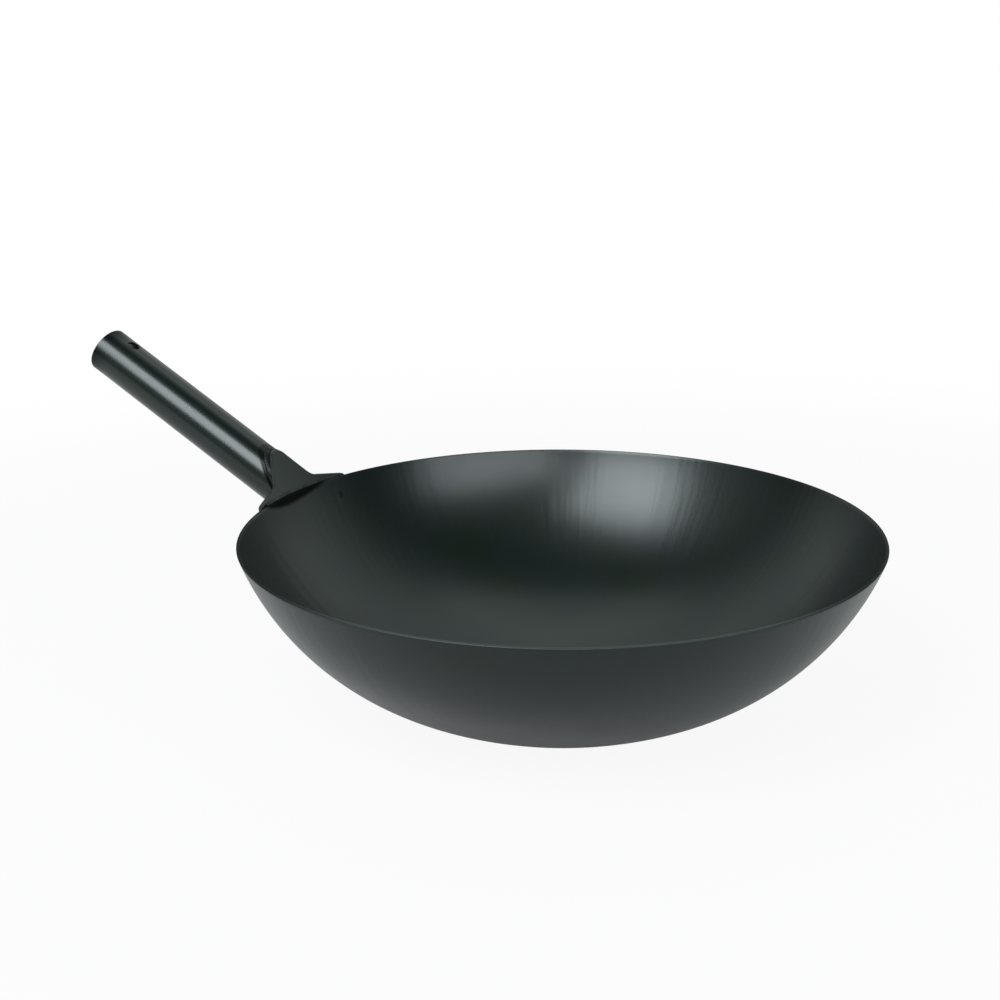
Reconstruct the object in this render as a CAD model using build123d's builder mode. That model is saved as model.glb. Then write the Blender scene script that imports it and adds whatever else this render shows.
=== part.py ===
from build123d import *
from math import acos, cos, degrees, radians, sin, sqrt
import os

# A 14 inch carbon steel wok with one tubular steel handle, in millimetres.
# The origin is the centre of the flat under the bowl, +Z is up and the handle points along -X.

# Bowl: one pressed sheet, a small flat, a shallow lower curve and a tighter upper curve up to the cut rim
rim_radius = 177.8
bowl_depth = 101.6
bowl_wall = 1.5
base_share = 0.309
base_corner_radius = 14.0
base_slope = 14.1
turn_slope = 28.1
rim_slope = 70.4
rim_edge_radius = 0.4

# Handle tube: straight round tube that leans outwards, with a hole to hang it by
tube_diameter = 28.6
tube_wall = 1.4
tube_tilt = 28.7
tube_length = 163.0
tube_axis_drop = 3.1
tube_tip_round = 0.5
hanging_hole_diameter = 8.0
hanging_hole_setback = 17.5
# The tube's length runs to the rim's circle, and this share of its diameter more is drawn and then coped
mouth_share = 1.5

# Lug: sheet that hugs the wall under the rim, bent out above it into an ear that the tube is welded to
# The ear's height, and half its width at the foot, are shares of the tube's diameter
lug_thickness = 2.0
lug_seat_gap = 0.1
lug_edge_radius = 0.5
ear_slope = 57.0
ear_bend_radius = 6.0
ear_height_share = 0.98
ear_top_radius = 8.0
ear_foot_share = 0.66
ear_foot_height = 5.0
flare_radius = 10.0
wing_half_width = 44.0
wing_tip_height = 0.8
wing_tip_radius = 3.0
wing_depth = 16.0
skirt_depth = 38.0
skirt_half_width = 17.0
skirt_corner_radius = 12.0

# Welds
root_bead_height = 1.1
root_bead_width = 3.0
root_bead_round = 0.5
rim_bead_radius = 1.3
rim_bead_half_angle = 12.0
spot_weld_diameter = 5.0
spot_weld_drop = 11.0
spot_weld_angle = 10.9
spot_weld_bite = 0.9
spot_dimple_depth = 0.25

# One overrun for every cut
overrun = 5.0

base_radius = base_share * rim_radius
tube_radius = tube_diameter / 2
tube_bore_radius = tube_radius - tube_wall
lug_back = lug_seat_gap + lug_thickness
ear_height = ear_height_share * tube_diameter
ear_foot_half_width = ear_foot_share * tube_diameter

# Both curves of the wall share one slope where they meet, and together they reach from the flat to the rim
upper_run = sin(radians(rim_slope)) - sin(radians(turn_slope))
upper_climb = cos(radians(turn_slope)) - cos(radians(rim_slope))
lower_run = sin(radians(turn_slope)) - sin(radians(base_slope))
lower_climb = cos(radians(base_slope)) - cos(radians(turn_slope))
reach_scale = upper_climb * lower_run - upper_run * lower_climb
wall_run = rim_radius - base_radius
upper_curve_radius = (bowl_depth * lower_run - wall_run * lower_climb) / reach_scale
lower_curve_radius = (wall_run * upper_climb - bowl_depth * upper_run) / reach_scale


def curve_point(slope, outset):
    """Point (radius, height) on the upper curve where it climbs at this slope, moved outwards by outset."""
    centre_x = rim_radius - upper_curve_radius * sin(radians(rim_slope))
    centre_z = bowl_depth + upper_curve_radius * cos(radians(rim_slope))
    reach = upper_curve_radius + outset
    return (centre_x + reach * sin(radians(slope)), centre_z - reach * cos(radians(slope)))


def slope_at_drop(drop):
    """Slope of the wall at this drop below the rim, on the upper curve."""
    height_under_centre = drop + upper_curve_radius * cos(radians(rim_slope))
    return degrees(acos(height_under_centre / upper_curve_radius))


def climb(slope):
    """Unit direction that climbs outwards at this slope."""
    return (cos(radians(slope)), sin(radians(slope)))


# Centre of the lower curve
turn_x, turn_z = curve_point(turn_slope, 0)
lower_centre_x = turn_x - lower_curve_radius * sin(radians(turn_slope))
lower_centre_z = turn_z + lower_curve_radius * cos(radians(turn_slope))


def bowl_line(inset):
    """Meridian of the bowl at this distance inside its outer face, drawn upwards in the open BuildLine."""
    radius = lower_curve_radius - inset
    start = (0, inset)
    corner = (lower_centre_x + sqrt(radius**2 - (lower_centre_z - inset) ** 2), inset)
    turn = curve_point(turn_slope, -inset)
    rim = curve_point(rim_slope, -inset)
    Line(start, corner)
    RadiusArc(corner, turn, -radius)
    RadiusArc(turn, rim, inset - upper_curve_radius)
    return start, corner, rim


# The tube's axis lies in the XZ plane and passes under the rim by tube_axis_drop
tube_out = Vector(-cos(radians(tube_tilt)), 0, sin(radians(tube_tilt)))
tube_up = Vector(sin(radians(tube_tilt)), 0, cos(radians(tube_tilt)))
tube_start = Vector(-rim_radius, 0, bowl_depth - tube_axis_drop)
tube_tip = tube_start + tube_out * tube_length
tip_plane = Plane(origin=tube_tip, x_dir=(0, 1, 0), z_dir=tube_out)
hole_plane = Plane(
    origin=tube_tip - tube_out * hanging_hole_setback, x_dir=(0, 1, 0), z_dir=tube_up
)

# Spot welds sit on the wall's outer face, one each side of the handle
spot_slope = slope_at_drop(spot_weld_drop)
spot_radius, spot_height = curve_point(spot_slope, 0)
spot_planes = []
for azimuth in (180 - spot_weld_angle, 180 + spot_weld_angle):
    outwards = Vector(
        sin(radians(spot_slope)) * cos(radians(azimuth)),
        sin(radians(spot_slope)) * sin(radians(azimuth)),
        -cos(radians(spot_slope)),
    )
    spot_origin = (
        spot_radius * cos(radians(azimuth)),
        spot_radius * sin(radians(azimuth)),
        spot_height,
    )
    spot_planes.append(Plane(origin=spot_origin, z_dir=outwards))

# Slope of the wall a little below the lug, and the length of the ear's straight part a little past its top
skirt_slope = slope_at_drop(skirt_depth + overrun)
ear_length = (ear_height + overrun) / sin(radians(ear_slope))


def lug_line(outset):
    """Meridian of the lug at this distance outside the bowl, drawn upwards in the open BuildLine."""
    bend_radius = ear_bend_radius + lug_back - outset
    foot = curve_point(skirt_slope, outset)
    bend_start = curve_point(rim_slope, outset)
    RadiusArc(foot, bend_start, -(upper_curve_radius + outset))
    bend = JernArc(bend_start, climb(rim_slope), bend_radius, ear_slope - rim_slope)
    ear = PolarLine(bend @ 1, ear_length, ear_slope)
    return foot, ear @ 1


def lug_band(inner_outset, outer_outset):
    """Closed outline between two such meridians, in the open BuildLine."""
    inner_ends = lug_line(inner_outset)
    outer_ends = lug_line(outer_outset)
    Line(inner_ends[0], outer_ends[0])
    Line(inner_ends[1], outer_ends[1])


os.makedirs("parts", exist_ok=True)

# Bowl, turned from one outline of even thickness
with BuildPart() as bowl:
    with BuildSketch(Plane.XZ) as bowl_section:
        with BuildLine():
            outer_start, outer_corner, outer_rim = bowl_line(0)
            inner_start, inner_corner, inner_rim = bowl_line(bowl_wall)
            Line(outer_start, inner_start)
            Line(outer_rim, inner_rim)
        make_face()
        fillet(bowl_section.vertices().sort_by_distance(outer_corner)[0], base_corner_radius)
        fillet(bowl_section.vertices().sort_by_distance(inner_corner)[0], base_corner_radius - bowl_wall)
        fillet(bowl_section.vertices().sort_by(Axis.X)[-2:], rim_edge_radius)
    revolve(axis=Axis.Z)
    for plane in spot_planes:
        with BuildSketch(plane):
            Circle(spot_weld_diameter / 2)
        extrude(amount=-spot_weld_bite, mode=Mode.SUBTRACT)
        with BuildSketch(plane.offset(spot_dimple_depth - bowl_wall)):
            Circle(spot_weld_diameter / 2)
        extrude(amount=-overrun, mode=Mode.SUBTRACT)
bowl.part.label = "bowl"
export_step(bowl.part, "parts/bowl.step")

# Lug, a band of the wall's own shape with the bent ear above it, trimmed to its outline seen along the handle
with BuildPart() as lug:
    with BuildSketch(Plane.XZ):
        with BuildLine():
            lug_band(lug_seat_gap, lug_back)
        make_face()
    revolve(axis=Axis.Z)
    half_outline = [
        (0, bowl_depth + ear_height),
        (ear_foot_half_width, bowl_depth + ear_foot_height),
        (wing_half_width, bowl_depth + wing_tip_height),
        (wing_half_width, bowl_depth - wing_depth),
        (skirt_half_width, bowl_depth - skirt_depth),
    ]
    other_half = [(-y, z) for y, z in half_outline[:0:-1]]
    corner_radii = [ear_top_radius, flare_radius, wing_tip_radius, skirt_corner_radius, skirt_corner_radius]
    with BuildSketch(Plane.YZ) as lug_outline:
        with BuildLine():
            Polyline(*half_outline, *other_half, close=True)
        make_face()
        for row, radius in enumerate(corner_radii):
            corners = [v for v in lug_outline.vertices() if abs(v.Y - half_outline[row][1]) < lug_edge_radius]
            fillet(corners, radius)
    extrude(amount=-(rim_radius + tube_length), mode=Mode.INTERSECT)
    cut_edges = lug.edges().filter_by(GeomType.LINE, reverse=True).filter_by(GeomType.CIRCLE, reverse=True)
    fillet(cut_edges, lug_edge_radius)
    for plane in spot_planes:
        with BuildSketch(plane):
            Circle(spot_weld_diameter / 2)
        extrude(amount=lug_seat_gap + spot_weld_bite, mode=Mode.SUBTRACT)
lug.part.label = "handle_lug"
export_step(lug.part, "parts/handle_lug.step")

# Tube, its mouth coped to the lug's outer face, with the hanging hole through both walls
with BuildPart() as tube:
    with BuildSketch(tip_plane):
        Circle(tube_radius)
        Circle(tube_bore_radius, mode=Mode.SUBTRACT)
    extrude(amount=-(tube_length + mouth_share * tube_diameter))
    with BuildSketch(Plane.XZ):
        with BuildLine():
            foot, ear_end = lug_line(lug_back)
            Polyline(ear_end, (0, ear_end.Y), (0, foot[1]), foot)
        make_face()
    revolve(axis=Axis.Z, mode=Mode.SUBTRACT)
    with BuildSketch(hole_plane):
        Circle(hanging_hole_diameter / 2)
    extrude(amount=tube_radius + overrun, both=True, mode=Mode.SUBTRACT)
    fillet(tube.faces().sort_by(Axis(tube_start, tube_out))[-1].edges(), tube_tip_round)
tube.part.label = "handle_tube"
export_step(tube.part, "parts/handle_tube.step")

# Bead that joins the tube's mouth to the lug all round, its outer edge rounded
with BuildPart() as root_weld:
    with BuildSketch(tip_plane):
        Circle(tube_radius + root_bead_height)
        Circle(tube_radius, mode=Mode.SUBTRACT)
    extrude(amount=-(tube_length + mouth_share * tube_diameter))
    with BuildSketch(Plane.XZ):
        with BuildLine():
            lug_band(lug_back, lug_back + root_bead_width)
        make_face()
    revolve(axis=Axis.Z, mode=Mode.INTERSECT)
    free_edges = [
        edge
        for edge in root_weld.edges()
        if min(edge.distance_to(lug.part), edge.distance_to(tube.part)) > root_bead_round
    ]
    fillet(free_edges, root_bead_round)
root_weld.part.label = "root_weld"
export_step(root_weld.part, "parts/root_weld.step")

# Half-round bead on the rim's cut edge, up against the ear
with BuildPart() as rim_weld:
    with BuildSketch(Plane.XZ.rotated((0, 0, 180 - rim_bead_half_angle))):
        with BuildLine():
            CenterArc(curve_point(rim_slope, 0), rim_bead_radius, rim_slope - 90, 180)
            Line(curve_point(rim_slope, rim_bead_radius), curve_point(rim_slope, -rim_bead_radius))
        make_face()
        with BuildLine():
            lug_band(lug_seat_gap, lug_back)
        make_face(mode=Mode.SUBTRACT)
    revolve(axis=Axis.Z, revolution_arc=2 * rim_bead_half_angle)
rim_weld.part.label = "rim_weld"
export_step(rim_weld.part, "parts/rim_weld.step")

# Nuggets of the two spot welds, sealed between the wall and the lug
with BuildPart() as spot_welds:
    for plane in spot_planes:
        with BuildSketch(plane.offset(-spot_weld_bite)):
            Circle(spot_weld_diameter / 2)
        extrude(amount=spot_weld_bite + lug_seat_gap + spot_weld_bite)
spot_welds.part.label = "spot_welds"
export_step(spot_welds.part, "parts/spot_welds.step")
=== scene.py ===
# %% [markdown]
# # A carbon steel wok
# This lesson dresses a CAD model of a wok. The CAD gives the places and the sizes. Blender gives the
# bowl a clean spun mesh, the weld its ripples, and every surface the finish of dark oxidised steel.

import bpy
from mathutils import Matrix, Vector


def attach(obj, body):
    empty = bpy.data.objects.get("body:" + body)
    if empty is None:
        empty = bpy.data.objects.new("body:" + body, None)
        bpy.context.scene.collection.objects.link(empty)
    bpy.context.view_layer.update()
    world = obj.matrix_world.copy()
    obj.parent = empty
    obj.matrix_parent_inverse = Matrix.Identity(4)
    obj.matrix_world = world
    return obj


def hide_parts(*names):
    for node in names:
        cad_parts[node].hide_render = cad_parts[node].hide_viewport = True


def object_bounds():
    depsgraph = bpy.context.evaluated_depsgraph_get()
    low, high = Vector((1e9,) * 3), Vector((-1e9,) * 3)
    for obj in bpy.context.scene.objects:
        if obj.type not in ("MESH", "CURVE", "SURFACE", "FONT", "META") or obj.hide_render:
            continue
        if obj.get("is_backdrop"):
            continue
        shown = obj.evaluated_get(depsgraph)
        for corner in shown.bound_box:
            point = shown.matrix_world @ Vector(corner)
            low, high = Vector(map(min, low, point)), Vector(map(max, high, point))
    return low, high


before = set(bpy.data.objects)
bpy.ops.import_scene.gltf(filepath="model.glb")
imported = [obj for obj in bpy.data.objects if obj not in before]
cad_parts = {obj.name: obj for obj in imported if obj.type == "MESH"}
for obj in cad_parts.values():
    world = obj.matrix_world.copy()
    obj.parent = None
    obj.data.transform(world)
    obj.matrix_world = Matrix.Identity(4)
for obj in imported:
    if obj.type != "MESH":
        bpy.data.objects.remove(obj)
cad_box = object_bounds()
print("CAD box", [tuple(round(c, 4) for c in corner) for corner in cad_box])

# %% Modules
from math import acos, cos, pi, radians, sin, sqrt, tan
from random import Random

import bmesh
import bpy
from mathutils import Matrix, Vector

# %% [markdown]
# ## Sizes
# Everything is in metres, in the CAD's frame: the origin is the centre of the flat under the bowl, Z is up
# and the handle points along -X. The bowl's outline is two curves that meet without a kink, so a few
# slopes and radii describe it. The rim's height and the wall come from the same dimensions as the CAD.

# %% Sizes of the bowl
RIM_RADIUS = 0.1778
BOWL_DEPTH = 0.1016
WALL = 0.0015
BASE_SHARE = 0.309
BASE_RADIUS = BASE_SHARE * RIM_RADIUS
BASE_CORNER = 0.014
BASE_SLOPE = radians(14.1)
TURN_SLOPE = radians(28.1)
RIM_SLOPE = radians(70.4)
RIM_EDGE = 0.0004

run = RIM_RADIUS - BASE_RADIUS
upper_run, upper_climb = sin(RIM_SLOPE) - sin(TURN_SLOPE), cos(TURN_SLOPE) - cos(RIM_SLOPE)
lower_run, lower_climb = sin(TURN_SLOPE) - sin(BASE_SLOPE), cos(BASE_SLOPE) - cos(TURN_SLOPE)
scale = upper_climb * lower_run - upper_run * lower_climb
UPPER_CURVE = (BOWL_DEPTH * lower_run - run * lower_climb) / scale
LOWER_CURVE = (run * upper_climb - BOWL_DEPTH * upper_run) / scale
print("curve radii", round(LOWER_CURVE, 4), round(UPPER_CURVE, 4))

# %% Sizes of the handle
TUBE_TILT = radians(28.7)
TUBE_RADIUS = 0.0143
TUBE_LENGTH = 0.163
TUBE_AXIS_DROP = 0.0031
TUBE_OUT = Vector((-cos(TUBE_TILT), 0, sin(TUBE_TILT)))
TUBE_UP = Vector((sin(TUBE_TILT), 0, cos(TUBE_TILT)))
TUBE_START = Vector((-RIM_RADIUS, 0, BOWL_DEPTH - TUBE_AXIS_DROP))
print("tube tip at", [round(c, 4) for c in TUBE_START + TUBE_OUT * TUBE_LENGTH])

# %% [markdown]
# ## The bowl's outline
# The outline is worked out as points (radius, height) from the centre of the flat to the rim. Slopes are
# even steps, so the points crowd where the wall curves more, which is what smooth reflections need.

# %% Outline of the bowl's outer face
CORNER_STEPS, LOWER_STEPS, UPPER_STEPS = 6, 22, 48


def arc_points(centre, radius, first_slope, last_slope, steps):
    """Points on an arc that is hollow upwards, from one slope to the next, without the first point."""
    points = []
    for step in range(1, steps + 1):
        slope = first_slope + (last_slope - first_slope) * step / steps
        points.append((centre[0] + radius * sin(slope), centre[1] - radius * cos(slope)))
    return points


upper_centre = (RIM_RADIUS - UPPER_CURVE * sin(RIM_SLOPE), BOWL_DEPTH + UPPER_CURVE * cos(RIM_SLOPE))
turn_back = UPPER_CURVE - LOWER_CURVE
lower_centre = (
    upper_centre[0] + turn_back * sin(TURN_SLOPE),
    upper_centre[1] - turn_back * cos(TURN_SLOPE),
)
corner_slope = acos((lower_centre[1] - BASE_CORNER) / (LOWER_CURVE - BASE_CORNER))
corner_centre = (lower_centre[0] + (LOWER_CURVE - BASE_CORNER) * sin(corner_slope), BASE_CORNER)

outline = [(0, 0), (corner_centre[0] / 2, 0), (corner_centre[0], 0)]
outline += arc_points(corner_centre, BASE_CORNER, 0, corner_slope, CORNER_STEPS)
outline += arc_points(lower_centre, LOWER_CURVE, corner_slope, TURN_SLOPE, LOWER_STEPS)
outline += arc_points(upper_centre, UPPER_CURVE, TURN_SLOPE, RIM_SLOPE, UPPER_STEPS)
print("outline points", len(outline), "rim at", [round(c, 4) for c in outline[-1]])

# %% [markdown]
# ## Small helpers for modelling
# Operators act on whatever is selected, so each step first clears the selection and makes one object
# active. Points are then picked in code, by where they are.


# %% Selection helpers
def only(piece):
    """Leaves one object selected and active."""
    bpy.ops.object.select_all(action="DESELECT")
    piece.select_set(True)
    bpy.context.view_layer.objects.active = piece


def select_points(piece, test):
    """In edit mode, selects the points whose place passes the test, and says how many there are."""
    mesh = bmesh.from_edit_mesh(piece.data)
    for part in (mesh.verts, mesh.edges, mesh.faces):
        for item in part:
            item.select = False
    for vert in mesh.verts:
        vert.select = test(vert.co)
    mesh.select_flush(True)
    bmesh.update_edit_mesh(piece.data)
    return sum(vert.select for vert in mesh.verts)


def apply_modifier(piece, kind, **settings):
    """Adds one modifier, sets it and applies it."""
    only(piece)
    bpy.ops.object.modifier_add(type=kind)
    modifier = piece.modifiers[-1]
    for name, value in settings.items():
        setattr(modifier, name, value)
    bpy.ops.object.modifier_apply(modifier=modifier.name)


# %% [markdown]
# ## The bowl
# The real bowl is one sheet pressed to shape and trimmed at the rim. A single point is drawn out along
# the outline with extrudes, as a lathe hand draws a profile, then spun round the Z axis. Solidify gives the
# sheet its thickness inwards, and a small bevel breaks the two sharp edges of the cut rim.

# %% Draw the outline and spin it
SPIN_STEPS = 288
MERGE_DISTANCE = 0.00001

bpy.ops.object.select_all(action="DESELECT")
bpy.ops.mesh.primitive_plane_add(size=RIM_EDGE, location=(0, 0, 0))
bowl = bpy.context.object
bowl.name = "pressed_bowl"
bpy.ops.object.mode_set(mode="EDIT")
bpy.ops.mesh.select_all(action="SELECT")
bpy.ops.mesh.merge(type="CENTER")
for here, there in zip(outline, outline[1:]):
    step = (there[0] - here[0], 0, there[1] - here[1])
    bpy.ops.mesh.extrude_region_move(TRANSFORM_OT_translate={"value": step})
bpy.ops.mesh.select_all(action="SELECT")
bpy.ops.mesh.spin(steps=SPIN_STEPS, angle=2 * pi, center=(0, 0, 0), axis=(0, 0, 1))
bpy.ops.mesh.select_all(action="SELECT")
bpy.ops.mesh.remove_doubles(threshold=MERGE_DISTANCE)
bpy.ops.mesh.normals_make_consistent(inside=False)
bpy.ops.object.mode_set(mode="OBJECT")
print("spun sheet", len(bowl.data.vertices), "points")

# %% Face the sheet outwards, then give it thickness and a broken edge
EDGE_STEPS = 3
SHARP_ANGLE = radians(60)

lowest_face = min(bowl.data.polygons, key=lambda face: face.center.z)
if lowest_face.normal.z > 0:
    only(bowl)
    bpy.ops.object.mode_set(mode="EDIT")
    bpy.ops.mesh.select_all(action="SELECT")
    bpy.ops.mesh.flip_normals()
    bpy.ops.object.mode_set(mode="OBJECT")
apply_modifier(bowl, "SOLIDIFY", thickness=WALL, offset=-1, use_even_offset=True)
sharp_edges = {"limit_method": "ANGLE", "angle_limit": SHARP_ANGLE}
apply_modifier(bowl, "BEVEL", width=RIM_EDGE, segments=EDGE_STEPS, **sharp_edges)
only(bowl)
bpy.ops.object.shade_smooth()
print("bowl", len(bowl.data.polygons), "faces")
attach(bowl, "root")
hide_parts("bowl")

# %% [markdown]
# ## The weld at the handle's root
# A hand-laid bead is a row of small puddles, each frozen half over the last one. One puddle is shaped from
# a sphere, copied along the seam between tube and lug, and the row is fused by a voxel remesh, which keeps
# the ripples. First the seam is found: a point on the tube's skin slides outwards until it leaves the lug.

# %% Outer face of the lug
LUG_BACK = 0.0021
EAR_SLOPE = radians(57)
EAR_BEND = 0.006

bend_centre = (
    RIM_RADIUS + (LUG_BACK + EAR_BEND) * sin(RIM_SLOPE),
    BOWL_DEPTH - (LUG_BACK + EAR_BEND) * cos(RIM_SLOPE),
)
bend_start = BOWL_DEPTH - LUG_BACK * cos(RIM_SLOPE)
ear_foot = (bend_centre[0] - EAR_BEND * sin(EAR_SLOPE), bend_centre[1] + EAR_BEND * cos(EAR_SLOPE))


def lug_reach(height):
    """How far from the axis the lug's face is: it follows the wall, then bends out into the ear."""
    if height > ear_foot[1]:
        return ear_foot[0] + (height - ear_foot[1]) / tan(EAR_SLOPE)
    if height > bend_start:
        return bend_centre[0] - sqrt(EAR_BEND**2 - (height - bend_centre[1]) ** 2)
    return upper_centre[0] + sqrt((UPPER_CURVE + LUG_BACK) ** 2 - (height - upper_centre[1]) ** 2)


print("ear starts at", [round(c, 4) for c in ear_foot])

# %% Find the seam
SEARCH = (-0.05, 0.08)
HALVINGS = 40
SEAM_SAMPLES = 720
PUDDLE_PITCH = 0.0019


def skin_direction(turn):
    """Way out of the tube's skin at this turn about its axis, counted from its top."""
    return TUBE_UP * cos(turn) + Vector((0, 1, 0)) * sin(turn)


def seam_point(turn):
    """Where the tube's skin meets the lug, at this turn about the tube's axis."""
    skin = TUBE_START + skin_direction(turn) * TUBE_RADIUS
    near, far = SEARCH
    for _ in range(HALVINGS):
        middle = (near + far) / 2
        point = skin + TUBE_OUT * middle
        if Vector((point.x, point.y)).length > lug_reach(point.z):
            far = middle
        else:
            near = middle
    return skin + TUBE_OUT * far


turns = [2 * pi * sample / SEAM_SAMPLES for sample in range(SEAM_SAMPLES)]
seam = [seam_point(turn) for turn in turns]
walked, stations = PUDDLE_PITCH, []
for row in range(SEAM_SAMPLES):
    walked += (seam[row] - seam[row - 1]).length if row else 0
    if walked >= PUDDLE_PITCH:
        stations.append(row)
        walked -= PUDDLE_PITCH
lowest = seam[SEAM_SAMPLES // 2]
print("seam from", round(seam[0].z, 4), "down to", round(lowest.z, 4), "with", len(stations), "puddles")

# %% [markdown]
# A puddle is a flattened ball that leans back on the one before it, with its crown drawn in a little.

# %% Shape one puddle
PUDDLE_SIDES, PUDDLE_RINGS = 24, 14
PUDDLE_FLATTEN = (0.50, 1, 1)
PUDDLE_LEAN = radians(30)
CROWN_START = 0.5
CROWN_SQUEEZE = (1, 0.95, 0.85)

bpy.ops.object.select_all(action="DESELECT")
bpy.ops.mesh.primitive_uv_sphere_add(
    segments=PUDDLE_SIDES, ring_count=PUDDLE_RINGS, radius=1, location=(0, 0, 0)
)
puddle = bpy.context.object
puddle.name = "root_bead"
bpy.ops.object.mode_set(mode="EDIT")
bpy.ops.mesh.select_all(action="SELECT")
bpy.ops.transform.resize(value=PUDDLE_FLATTEN)
bpy.ops.transform.rotate(value=PUDDLE_LEAN, orient_axis="Y", center_override=(0, 0, 0))
crown = select_points(puddle, lambda point: point.z > CROWN_START)
bpy.ops.transform.resize(value=CROWN_SQUEEZE, center_override=(0, 0, 0))
bpy.ops.object.mode_set(mode="OBJECT")
print("puddle with", crown, "points in its crown")

# %% [markdown]
# The bead is a fillet with two legs: one runs out along the tube, the other along the lug. Each puddle lies
# across from toe to toe, so it fills the corner. Under the tube the corner is tight, and the leg on the lug
# grows. A hand is never quite steady, so both legs wander a little. The round puddle is stretched along the
# seam and outwards to a size in metres, and across to a share of the half distance between the toes.

# %% Lay the puddles along the seam
TUBE_LEG, TUBE_LEG_LESS_BELOW = 0.0044, 0.0006
LUG_LEG, LUG_LEG_MORE_BELOW = 0.0007, 0.0020
BELOW_START, BELOW_SPAN = 0.35, 0.45
TUBE_LEG_WANDER, LUG_LEG_WANDER = 0.0002, 0.0001
STRETCH_ALONG, STRETCH_ACROSS, STRETCH_OUT = 0.0027, 1.1, 0.0010
PUDDLE_SINK = 0.0003
HAND_SEED = 7

puddles = []
unsteady = Random(HAND_SEED)
for row in stations:
    turn = turns[row]
    along = (seam[(row + 1) % SEAM_SAMPLES] - seam[row - 1]).normalized()
    skin_way = skin_direction(turn)
    radial = Vector((seam[row].x, seam[row].y, 0)).normalized()
    slope = EAR_SLOPE if seam[row].z > BOWL_DEPTH else RIM_SLOPE
    lug_way = radial * sin(slope) - Vector((0, 0, 1)) * cos(slope)
    off_tube = along.cross(lug_way).normalized()
    off_tube *= 1 if off_tube.dot(skin_way) > 0 else -1
    low = 1 - cos(turn)
    below = min(1, max(0, low - BELOW_START) / BELOW_SPAN)
    tube_leg = TUBE_LEG - TUBE_LEG_LESS_BELOW * low + unsteady.uniform(-TUBE_LEG_WANDER, TUBE_LEG_WANDER)
    lug_leg = LUG_LEG + LUG_LEG_MORE_BELOW * below + unsteady.uniform(-LUG_LEG_WANDER, LUG_LEG_WANDER)
    tube_toe = seam[row] + TUBE_OUT * tube_leg
    lug_toe = seam[row] + off_tube * lug_leg
    across = (tube_toe - lug_toe) / 2
    out = along.cross(across).normalized()
    if out.dot(skin_way + lug_way) < 0:
        out, across = -out, -across
    along = across.cross(out).normalized()
    sides = (along * STRETCH_ALONG, across * STRETCH_ACROSS, out * STRETCH_OUT)
    middle = (tube_toe + lug_toe) / 2 - out * PUDDLE_SINK
    copy = puddle.copy()
    copy.data = puddle.data.copy()
    copy.matrix_world = Matrix.Translation(middle) @ Matrix(sides).transposed().to_4x4()
    bpy.context.scene.collection.objects.link(copy)
    puddles.append(copy)

bpy.data.objects.remove(puddle)
bpy.context.view_layer.update()
only(puddles[0])
for copy in puddles:
    copy.select_set(True)
bpy.ops.object.join()
bead = bpy.context.object
bead.name = "root_bead"
bpy.ops.object.transform_apply(location=True, rotation=True, scale=True)
print("row of puddles", len(bead.data.polygons), "faces")

# %% Fuse the row
VOXEL = 0.00028
SMOOTH_SHARE, SMOOTH_ROUNDS = 0.5, 2

apply_modifier(bead, "REMESH", mode="VOXEL", voxel_size=VOXEL)
apply_modifier(bead, "SMOOTH", factor=SMOOTH_SHARE, iterations=SMOOTH_ROUNDS)
only(bead)
bpy.ops.object.shade_smooth()
print("bead", len(bead.data.polygons), "faces")
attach(bead, "root")
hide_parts("root_weld")

# %% [markdown]
# ## Writing shader maths as sums
# A material is a tree of nodes. The small class below wraps one socket, so a pattern can be written as a
# sum or a product, and the Math nodes are added for it. Every other node comes from its make method.


# %% A socket that can be used in sums
class Wire:
    """One socket of a material's tree."""

    def __init__(self, tree, socket=None):
        self.tree = tree
        self.socket = socket

    def make(self, kind, settings=None, inputs=None, output=0):
        """Adds a node, sets it first, then feeds its sockets with values or wires."""
        node = self.tree.nodes.new(kind)
        for name, value in (settings or {}).items():
            setattr(node, name, value)
        for name, value in (inputs or {}).items():
            if isinstance(value, Wire):
                self.tree.links.new(value.socket, node.inputs[name])
            else:
                node.inputs[name].default_value = value
        return Wire(self.tree, node.outputs[output] if len(node.outputs) else None)

    def maths(self, operation, *others):
        """A Math node on this value and the others, in that order."""
        inputs = dict(enumerate((self, *others)))
        return self.make("ShaderNodeMath", {"operation": operation}, inputs)

    def __add__(self, other):
        return self.maths("ADD", other)

    def __sub__(self, other):
        return self.maths("SUBTRACT", other)

    def __rsub__(self, other):
        return self.maths("MULTIPLY_ADD", -1.0, other)

    def __mul__(self, other):
        return self.maths("MULTIPLY", other)

    def __truediv__(self, other):
        return self.maths("DIVIDE", other)

    __radd__ = __add__
    __rmul__ = __mul__

    def size(self):
        """The value without its sign."""
        return self.maths("ABSOLUTE")

    def or_more(self, other):
        """The larger of two values."""
        return self.maths("MAXIMUM", other)

    def ramp(self, start, end, low=0.0, high=1.0):
        """Smooth step from low to high while the value goes from start to end."""
        limits = {"Value": self, "From Min": start, "From Max": end, "To Min": low, "To Max": high}
        return self.make("ShaderNodeMapRange", {"interpolation_type": "SMOOTHSTEP"}, limits)

    def blend(self, first, second):
        """Colour that goes from first to second as this value goes from 0 to 1."""
        colours = {0: self, 6: first, 7: second}
        return self.make("ShaderNodeMix", {"data_type": "RGBA"}, colours, output=2)


# %% [markdown]
# ## Places and patterns
# Patterns read Object coordinates. Each object sits at the origin, so they are metres in the CAD's frame,
# and a mark stays where it is put whichever way the camera looks.


# %% Coordinates and noise
def place(tree):
    """Object coordinates as one vector wire and three number wires."""
    spot = Wire(tree).make("ShaderNodeTexCoord", output="Object")
    return spot, *[spot.make("ShaderNodeSeparateXYZ", None, {0: spot}, output=row) for row in range(3)]


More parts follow.
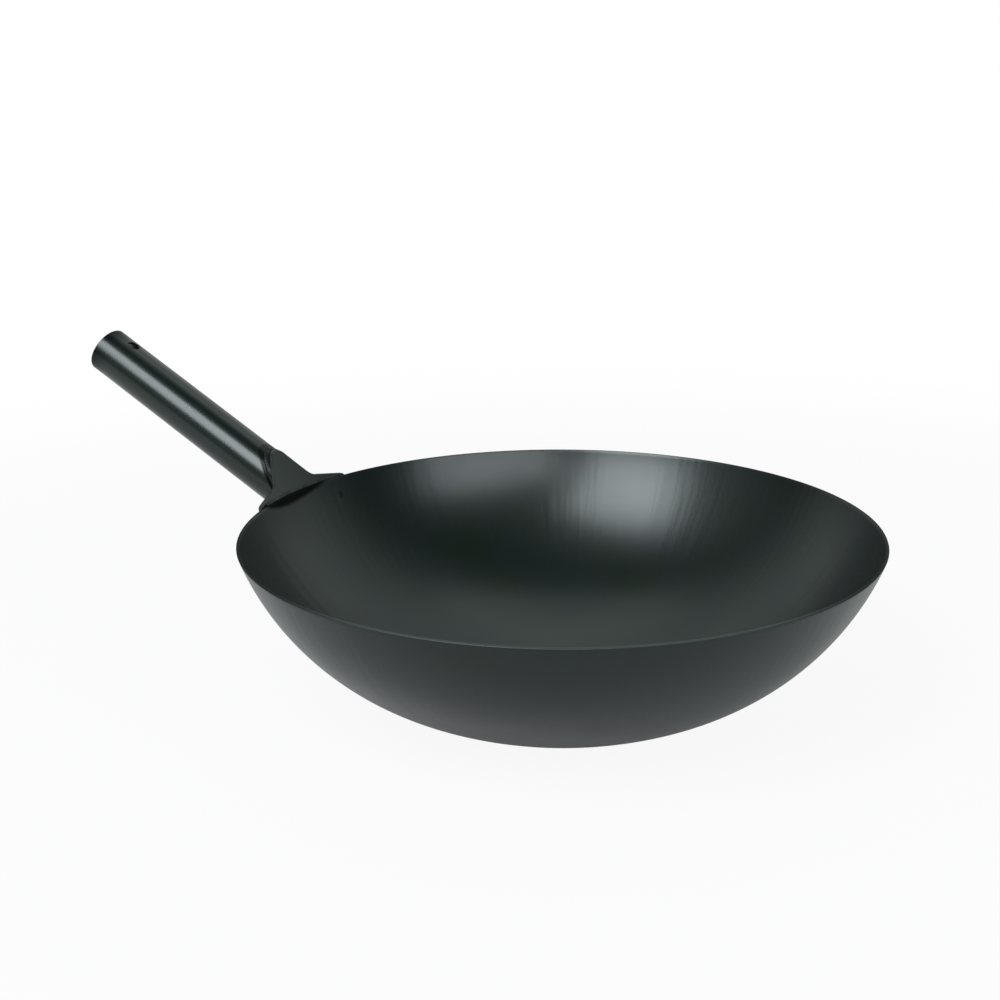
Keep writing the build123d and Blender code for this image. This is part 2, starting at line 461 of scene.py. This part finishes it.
def joined(x, y, z):
    """Vector from three numbers, of which the first is a wire."""
    return x.make("ShaderNodeCombineXYZ", None, {0: x, 1: y, 2: z})


def noise(spot, scale, detail=3.0, roughness=0.5):
    """Cloudy pattern around 0.5, with features about 1 / scale metres across."""
    inputs = {"Vector": spot, "Scale": scale, "Detail": detail, "Roughness": roughness}
    return spot.make("ShaderNodeTexNoise", None, inputs)


def along_axis(spot, origin, direction):
    """Distance of a place from origin, counted along a direction."""
    inputs = {0: spot, 1: tuple(origin)}
    shifted = spot.make("ShaderNodeVectorMath", {"operation": "SUBTRACT"}, inputs)
    inputs = {0: shifted, 1: tuple(direction)}
    return spot.make("ShaderNodeVectorMath", {"operation": "DOT_PRODUCT"}, inputs, output="Value")


def distance_to(spot, point):
    """Distance of a place from a point."""
    inputs = {0: spot, 1: tuple(point)}
    return spot.make("ShaderNodeVectorMath", {"operation": "DISTANCE"}, inputs, output="Value")


def bump(height, distance):
    """Normal from a pattern, where a change of 1 stands for this distance in metres."""
    return height.make("ShaderNodeBump", None, {"Strength": 1.0, "Distance": distance, "Height": height})


# %% [markdown]
# ## One way to make every material
# Each finish is a function that gives values for the shader's sockets by name. The helper makes the
# material around it. One entry isn't a socket: the share of the surface made matt black. It stands for the
# soot of welding, for the darker parts of the rim, and for painted shade on the tube.


# %% Material maker
def new_material(name, paint):
    """Makes a material whose shader is fed by what paint gives for its sockets."""
    material = bpy.data.materials.new(name)
    material.use_nodes = True
    tree = material.node_tree
    tree.nodes.clear()
    sockets = paint(tree)
    # The matt black share is soot from welding, darker parts of the rim, and painted shade on the tube.
    soot_and_shade = sockets.pop("Soot", None)
    shader = Wire(tree).make("ShaderNodeBsdfPrincipled", None, {**sockets, "Specular Tint": OIL_TINT})
    if soot_and_shade:
        matte = soot_and_shade.make("ShaderNodeBsdfDiffuse", None, {"Color": SOOT_AND_SHADE})
        shader = soot_and_shade.make("ShaderNodeMixShader", None, {0: soot_and_shade, 1: shader, 2: matte})
    shader.make("ShaderNodeOutputMaterial", None, {"Surface": shader})
    print("material", name, "with", len(tree.nodes), "nodes")
    return material


def dress(piece, material):
    """Gives the whole piece one material."""
    piece.data.materials.clear()
    piece.data.materials.append(material)


# %% [markdown]
# ## Dark oxidised steel
# The sheet is covered in black iron oxide wiped with oil. Seen head on it mirrors the studio weakly, and at
# a grazing angle strongly, as lacquer does. So the shader is a nearly black, smooth dielectric: the grey
# that the eye sees is the reflection of the room, tinted a little by the oil, and the base colour adds the
# green and blue of the oxide.

# %% Colours of the finish
GREEN_OXIDE = (0.0020, 0.0055, 0.0032, 1)
BLUE_OXIDE = (0.0018, 0.0048, 0.0050, 1)
WORN_OXIDE = (0.012, 0.019, 0.018, 1)
OIL_TINT = (0.90, 1.0, 0.97, 1)
# Matt black for soot, used also for painted shade on the tube.
SOOT_AND_SHADE = (0.0015, 0.0022, 0.0020, 1)
print("oil tints the mirror image by", OIL_TINT[:3])

# %% [markdown]
# A pattern's scale says how fine it is: at 24 a cloud is about 4 cm wide, at 650 a grain about 1.5 mm. The
# clouds also mix two oxides, and a mix says at which values the first one ends and the second is reached.

# %% Scales and mixes of the patterns
BOWL_CLOUDS, BOWL_GRAIN, PRESS_LINES = 24, 650, 190
TUBE_CLOUDS, TUBE_GRAIN, DRAWN_LINES = 30, 700, 900
LUG_CLOUDS, LUG_GRAIN = 45, 600
WELD_CLOUDS, WELD_GRAIN = 160, 1500
BOWL_MIX, HANDLE_MIX, WELD_MIX = (0.40, 0.62), (0.38, 0.62), (0.40, 0.60)
SHEET_BUMP, TUBE_BUMP = 0.00003, 0.000004
print("widest clouds", round(1 / BOWL_CLOUDS, 3), "finest grain", round(1 / WELD_GRAIN, 5))

# %% [markdown]
# ## Marks on the bowl
# Clouds of greener and bluer oxide cover the sheet, and the press left fine lines up the wall. The cut rim
# is lighter in front and behind, darker towards the left and the right, and darker still at the handle.
# Inside there are two kinds of dark mark: a crescent just under the rim at the handle, and a small round
# dent that each spot weld left, of which only one shows clearly.

# %% Places of the marks at the handle
CRESCENT_MIDDLE = radians(2.6)
CRESCENT_HALF_ANGLE = radians(11.6)
CRESCENT_DEPTH = 0.0066
CRESCENT_WANDER = 0.004
CRESCENT_FADE = (-0.0008, 0.0024, 0.0, 0.9)
HANDLE_SIDE = (0, 0.1)
SPOT_RADIUS = 0.0025
SPOT_DROP = 0.011
SPOT_ANGLE = radians(10.9)
SPOT_FADE = (SPOT_RADIUS * 1.2, SPOT_RADIUS * 0.4)
CLEARER_SPOT = (-0.02, 0.02, 0.12, 1.0)
SPOT_SOOT = 0.35

spot_slope = acos((SPOT_DROP + UPPER_CURVE * cos(RIM_SLOPE)) / UPPER_CURVE)
spot_reach = upper_centre[0] + (UPPER_CURVE - WALL) * sin(spot_slope)
spot_height = upper_centre[1] - (UPPER_CURVE - WALL) * cos(spot_slope)
spot_points = [
    (spot_reach * cos(pi + side * SPOT_ANGLE), spot_reach * sin(pi + side * SPOT_ANGLE), spot_height)
    for side in (-1, 1)
]
print("spot welds at", [[round(c, 4) for c in point] for point in spot_points])

# %% Marks of the rim and the press
LIP_FADE = (0.0005, 0.0001)
BARE_LIP = (0.082, -0.156, 0.1)
LIP_WAY = (0.88, 0.475, 0)
LIP_DARKENS = (0.085, 0.15, 0.0, 0.7)
LIP_DARKENS_AT_HANDLE = (1.0, 1.2, 0.9, 0.0)
PRESS_SQUEEZE = 0.12
PRESS_START = (0.09, 0.15)
print("cut rim is lightest at", BARE_LIP)


# %% Material of the bowl
def bowl_paint(tree):
    """Oxide in clouds, with the marks of the press, of the cut rim and of the welds."""
    spot, x, y, z = place(tree)
    clouds = noise(spot, BOWL_CLOUDS, detail=5.0, roughness=0.55)
    grain = noise(spot, BOWL_GRAIN, detail=2.0)

    radius = (x * x + y * y).maths("SQRT")
    slope = (radius - upper_centre[0]).maths("ARCTAN2", upper_centre[1] - z)
    below_rim = (slope - RIM_SLOPE) * -UPPER_CURVE
    lip = below_rim.ramp(*LIP_FADE)
    dark_lip = lip * along_axis(spot, BARE_LIP, LIP_WAY).size().ramp(*LIP_DARKENS)

    round_spot = joined(x / radius * RIM_RADIUS, y / radius * RIM_RADIUS, z * PRESS_SQUEEZE)
    press_lines = noise(round_spot, PRESS_LINES, detail=1.0) * radius.ramp(*PRESS_START)

    # A dark crescent under the rim at the handle, a darker lip above it, and a dark dent at each spot weld.
    swing = (y.maths("ARCTAN2", x * -1.0) * -1.0 - CRESCENT_MIDDLE) / CRESCENT_HALF_ANGLE
    dark_lip_at_handle = lip * swing.size().ramp(*LIP_DARKENS_AT_HANDLE)
    crescent_margin = (1.0 - swing * swing) * CRESCENT_DEPTH - below_rim + (clouds - 0.5) * CRESCENT_WANDER
    dark_near_weld = crescent_margin.ramp(*CRESCENT_FADE) * (x * -1.0).ramp(*HANDLE_SIDE)
    spot_gap = distance_to(spot, spot_points[0]).maths("MINIMUM", distance_to(spot, spot_points[1]))
    dent = spot_gap.ramp(*SPOT_FADE) * y.ramp(*CLEARER_SPOT)

    oxide = clouds.ramp(*BOWL_MIX).blend(GREEN_OXIDE, BLUE_OXIDE)
    return {
        "Base Color": lip.blend(oxide, WORN_OXIDE),
        "Roughness": 0.25 + 0.07 * clouds + 0.03 * grain + 0.15 * lip,
        "Normal": bump(press_lines * 3.0 + grain * 0.2 - dent * 3.0, SHEET_BUMP),
        "Soot": dark_near_weld.or_more(dent * SPOT_SOOT).or_more(dark_lip).or_more(dark_lip_at_handle),
    }


bowl_steel = new_material("oxidised_bowl_steel", bowl_paint)
dress(bowl, bowl_steel)

# %% [markdown]
# ## The handle's finish
# The tube is drawn, so its fine lines run along it. The lug is a flat stamping with no direction. Both
# have the bowl's oxide, a little smoother on the tube, where hands rub it. The tube's cut end is barer, and
# the last stretch before it has painted shade on both sides of the bright line. Next to the lug the tube is
# darker: heat tint of the weld, with painted shade that is strongest on the bright line and below it.

# %% Places of the tube's marks
CUT_END = 0.0006
# Next to the lug the tube is darker: heat tint of the weld, with painted shade that is strongest below.
DARK_REACH = 0.0043
DARK_FADE = (DARK_REACH, DARK_REACH * 0.75)
DARK_WANDER = 0.004
PAINTED_SHADE_BELOW = (0.016, 0.006, 0.4, 0.9)
# Painted shade at the tip, on both sides of the bright line.
TIP_REACH = 0.015
TIP_PAINTED_SHADE = 0.6
SHINE_SIDE = 0.0075
SHINE_FADE = (0.002, 0.005)
LINE_SQUEEZE = 0.03
EAR_POINT = (-ear_foot[0], 0, ear_foot[1])
EAR_WAY = (-sin(EAR_SLOPE), 0, -cos(EAR_SLOPE))
print("outer face of the ear looks along", [round(c, 3) for c in EAR_WAY])


# %% Material of the tube
def tube_paint(tree):
    """Oxide with drawn lines, a barer cut end, painted shade at the tip, and a darker stretch by the lug.
    """
    spot, _, y, _ = place(tree)
    along = along_axis(spot, TUBE_START, TUBE_OUT)
    across = along_axis(spot, TUBE_START, TUBE_UP)
    clouds = noise(spot, TUBE_CLOUDS, detail=4.0)
    grain = noise(spot, TUBE_GRAIN, detail=2.0)
    drawn_lines = noise(joined(along * LINE_SQUEEZE, y, across), DRAWN_LINES, detail=2.0)

    cut = along.ramp(TUBE_LENGTH - CUT_END, TUBE_LENGTH)
    # Heat tint next to the lug, with painted shade on the bright line and below it.
    from_lug = along_axis(spot, EAR_POINT, EAR_WAY) + (clouds - 0.5) * DARK_WANDER
    dark_near_weld = from_lug.ramp(*DARK_FADE) * across.ramp(*PAINTED_SHADE_BELOW)
    # Painted shade beside the bright line near the tip.
    off_shine = (across - SHINE_SIDE).size().ramp(*SHINE_FADE)
    painted_tip_shade = along.ramp(TUBE_LENGTH - TIP_REACH, TUBE_LENGTH, 0.0, TIP_PAINTED_SHADE) * off_shine

    oxide = clouds.ramp(*HANDLE_MIX).blend(GREEN_OXIDE, BLUE_OXIDE)
    return {
        "Base Color": cut.blend(oxide, WORN_OXIDE),
        "Roughness": 0.22 + 0.06 * clouds + 0.04 * drawn_lines,
        "Normal": bump(drawn_lines * 0.3 + grain * 0.1, TUBE_BUMP),
        "Soot": dark_near_weld.or_more(painted_tip_shade),
    }


tube_steel = new_material("drawn_tube_steel", tube_paint)
dress(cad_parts["handle_tube"], tube_steel)

# %% Materials of the lug and the welds
WELD_SOOT = (0.3, 0.7, 0.15, 0.6)


def lug_paint(tree):
    """Plain oxide, a little rougher than the bowl's."""
    spot = place(tree)[0]
    clouds = noise(spot, LUG_CLOUDS, detail=4.0)
    grain = noise(spot, LUG_GRAIN, detail=3.0)
    return {
        "Base Color": clouds.ramp(*HANDLE_MIX).blend(GREEN_OXIDE, BLUE_OXIDE),
        "Roughness": 0.34 + 0.10 * clouds,
        "Normal": bump(grain + clouds * 2.0, SHEET_BUMP),
    }


def weld_paint(tree):
    """Burnt oxide in patches, part of it matt black."""
    spot = place(tree)[0]
    clouds = noise(spot, WELD_CLOUDS, detail=3.0)
    grain = noise(spot, WELD_GRAIN, detail=2.0)
    return {
        "Base Color": clouds.ramp(*WELD_MIX).blend(SOOT_AND_SHADE, GREEN_OXIDE),
        "Roughness": 0.30 + 0.16 * clouds,
        "Normal": bump(grain, SHEET_BUMP),
        "Soot": clouds.ramp(*WELD_SOOT),
    }


lug_steel = new_material("stamped_lug_steel", lug_paint)
weld_steel = new_material("burnt_weld_steel", weld_paint)
dress(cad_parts["handle_lug"], lug_steel)
for piece in (bead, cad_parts["rim_weld"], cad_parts["spot_welds"]):
    dress(piece, weld_steel)

# %% [markdown]
# ## The camera
# The camera stands a little above the rim, in front and to the right, about 0.85 m from the bowl's middle.
# It looks down by sixteen degrees, so the rim shows as an open ellipse.

# %% Camera
CAMERA_PLACE = (0.35591, -0.72875, 0.35605)
CAMERA_TURN = radians(28.377)
CAMERA_DIP = radians(16.310)
CAMERA_ROLL = radians(-0.507)
LENS, SENSOR = 55.03, 36

camera = bpy.data.objects.new("camera", bpy.data.cameras.new("camera"))
bpy.context.scene.collection.objects.link(camera)
camera.data.sensor_width = SENSOR
camera.data.lens = LENS
camera.location = CAMERA_PLACE
looking = Matrix.Rotation(CAMERA_TURN, 3, "Z") @ Matrix.Rotation(pi / 2 - CAMERA_DIP, 3, "X")
camera.rotation_euler = (looking @ Matrix.Rotation(CAMERA_ROLL, 3, "Z")).to_euler()
bpy.context.scene.camera = camera
print("camera looks along", [round(c, 3) for c in looking @ Vector((0, 0, -1))])

# %% [markdown]
# ## The floor
# The floor is plain paper that keeps the wok's soft shadow. To the camera most of it is a glow of strength
# 1, and far out all of it is, so it melts into the white room with no horizon. The steel mirrors another
# floor: dim close by on the camera's side, brighter towards the wall behind and far out, and a little
# green like the room.

# %% What the floor and the room share
WHITE = (1, 1, 1, 1)
WALL_TINT = (0.93, 1.0, 0.97, 1)


def level_direction(azimuth, height=0.0):
    """Unit direction at this azimuth from +X and this angle above the floor, both in degrees."""
    turn, rise = radians(azimuth), radians(height)
    return (cos(turn) * cos(rise), sin(turn) * cos(rise), sin(rise))


def ray_kinds(wire):
    """Wires that are 1 for rays the camera sends, rays that are mirrored and rays that passed through."""
    names = ("Is Camera Ray", "Is Glossy Ray", "Is Transmission Ray")
    return [wire.make("ShaderNodeLightPath", output=name) for name in names]


WALL_FACING = level_direction(112)
print("the wall is towards", [round(c, 3) for c in WALL_FACING])

# %% Floor
FLOOR_RADIUS = 4
FLOOR_SIDES = 96
PAPER = (0.50, 0.50, 0.50, 1)
FAR = (0.3, 1.2)
SEEN_GLOW = (0, 1, 0.92, 1.0)
NEAR_WALL_GLOW = (-0.15, 0.10, 0.06, 0.48)
WALL_GLOW = (0.1, 0.7, 0.0, 0.52)
DISTANT_GLOW = (0.25, 0.7, 0.05, 0.95)

bpy.ops.object.select_all(action="DESELECT")
bpy.ops.mesh.primitive_circle_add(
    vertices=FLOOR_SIDES, radius=FLOOR_RADIUS, fill_type="NGON", location=(0, 0, 0)
)
floor = bpy.context.object
floor.name = "floor"
only(floor)
bpy.ops.object.mode_set(mode="EDIT")
bpy.ops.mesh.select_all(action="SELECT")
bpy.ops.mesh.inset(thickness=FLOOR_RADIUS / 2, depth=0)
bpy.ops.object.mode_set(mode="OBJECT")

floor_white = bpy.data.materials.new("white_floor")
floor_white.use_nodes = True
floor_white.node_tree.nodes.clear()
spot, x, y, _ = place(floor_white.node_tree)
radius = (x * x + y * y).maths("SQRT")
seen, mirrored, passed = ray_kinds(spot)
to_wall = x * WALL_FACING[0] + y * WALL_FACING[1]
back_glow = to_wall.ramp(*NEAR_WALL_GLOW) + to_wall.ramp(*WALL_GLOW)
mirrored_glow = back_glow.or_more(radius.ramp(*DISTANT_GLOW))
glow = (seen + passed) * radius.ramp(*FAR).ramp(*SEEN_GLOW) + mirrored * mirrored_glow
tint = (seen + passed).blend(WALL_TINT, WHITE)
paper = spot.make("ShaderNodeBsdfDiffuse", None, {"Color": PAPER})
white = spot.make("ShaderNodeEmission", None, {"Color": tint, "Strength": 1.0})
mixed = spot.make("ShaderNodeMixShader", None, {0: glow, 1: paper, 2: white})
mixed.make("ShaderNodeOutputMaterial", None, {"Surface": mixed})
dress(floor, floor_white)
floor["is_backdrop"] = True
print("floor", len(floor.data.polygons), "faces")

# %% [markdown]
# ## The white room
# The camera sees pure white all round. What lights and mirrors in the steel is a photographer's studio,
# because black steel shows nothing but its surroundings. Its wall behind the wok is brighter as it rises,
# and a strip of bright ceiling tops it. A weak fill stands at the left in front, and all else is dim.

# %% Room
ROOM_DIM = 0.058
LIGHTING_SHARE = 0.9
WALL_SPREAD = (0.02, 0.55)
WALL_RISE = (0.0, 0.3, 0.4, 1.0)
WALL_WHITE = 0.80
CEILING_RISE = (0.78, 0.90)
CEILING_SPREAD = (0.10, 0.35)
CEILING_WHITE = 0.82 * 0.8
FILL_FACING = level_direction(-128, 27)
FILL_SPREAD = (0.80, 0.97)
FILL_WHITE = 0.38

world = bpy.data.worlds.new("studio")
bpy.context.scene.world = world
world.use_nodes = True
world.node_tree.nodes.clear()
direction = Wire(world.node_tree).make("ShaderNodeTexCoord", output="Generated")
height = direction.make("ShaderNodeSeparateXYZ", None, {0: direction}, output=2)
behind = along_axis(direction, (0, 0, 0), WALL_FACING)
wall = behind.ramp(*WALL_SPREAD) * height.ramp(*WALL_RISE) * WALL_WHITE
ceiling = height.ramp(*CEILING_RISE) * behind.ramp(*CEILING_SPREAD) * CEILING_WHITE
fill = along_axis(direction, (0, 0, 0), FILL_FACING).ramp(*FILL_SPREAD) * FILL_WHITE
seen, mirrored, passed = ray_kinds(direction)
others = 1.0 - seen - mirrored - passed
white_part = seen + passed + (mirrored + others * LIGHTING_SHARE) * (wall + ceiling + fill)
strength = white_part * (1 - ROOM_DIM) + ROOM_DIM
tint = (seen + passed).blend(WALL_TINT, WHITE)
sky = direction.make("ShaderNodeBackground", None, {"Color": tint, "Strength": strength})
sky.make("ShaderNodeOutputWorld", None, {"Surface": sky})
print("room with", len(world.node_tree.nodes), "nodes")

# %% [markdown]
# ## Two soft lamps
# A large softbox in front and above gives the broad highlight on the far wall and the bright line along
# the tube. A weaker, wider one on the right lifts that side.

# %% Softboxes
COOL = (0.94, 0.94, 1.0)


def softbox(name, stand, aim, width, height, brightness):
    """Cool area lamp whose face has this brightness, where 1 is white paper."""
    data = bpy.data.lights.new(name, "AREA")
    data.shape = "RECTANGLE"
    data.size, data.size_y = width, height
    data.energy = brightness * pi * width * height
    data.color = COOL
    lamp = bpy.data.objects.new(name, data)
    bpy.context.scene.collection.objects.link(lamp)
    lamp.location = stand
    lamp.rotation_euler = (Vector(aim) - Vector(stand)).to_track_quat("-Z", "Y").to_euler()
    print(name, round(data.energy, 1), "W")


main_side = {"stand": (-0.27, -1.79, 1.79), "aim": (-0.03, 0.16, 0.08)}
right_side = {"stand": (1.71, -1.07, 1.30), "aim": (-0.12, 0.12, 0.09)}

softbox("main_softbox", width=1.54, height=1.50, brightness=9.8, **main_side)
softbox("side_softbox", width=2.20, height=0.90, brightness=5.3, **right_side)

# %% [markdown]
# ## Last things
# The picture is shown with plain colours, so a colour renders as it is written. The two boxes are kept, to
# see that the finished wok still fills the CAD's box and no more.

# %% Colour view, sizes and finish
bpy.context.scene.view_settings.view_transform = "Standard"
boxes = {"cad": cad_box, "visual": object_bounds()}
boxes = {name: [list(corner) for corner in box] for name, box in boxes.items()}
print(boxes)
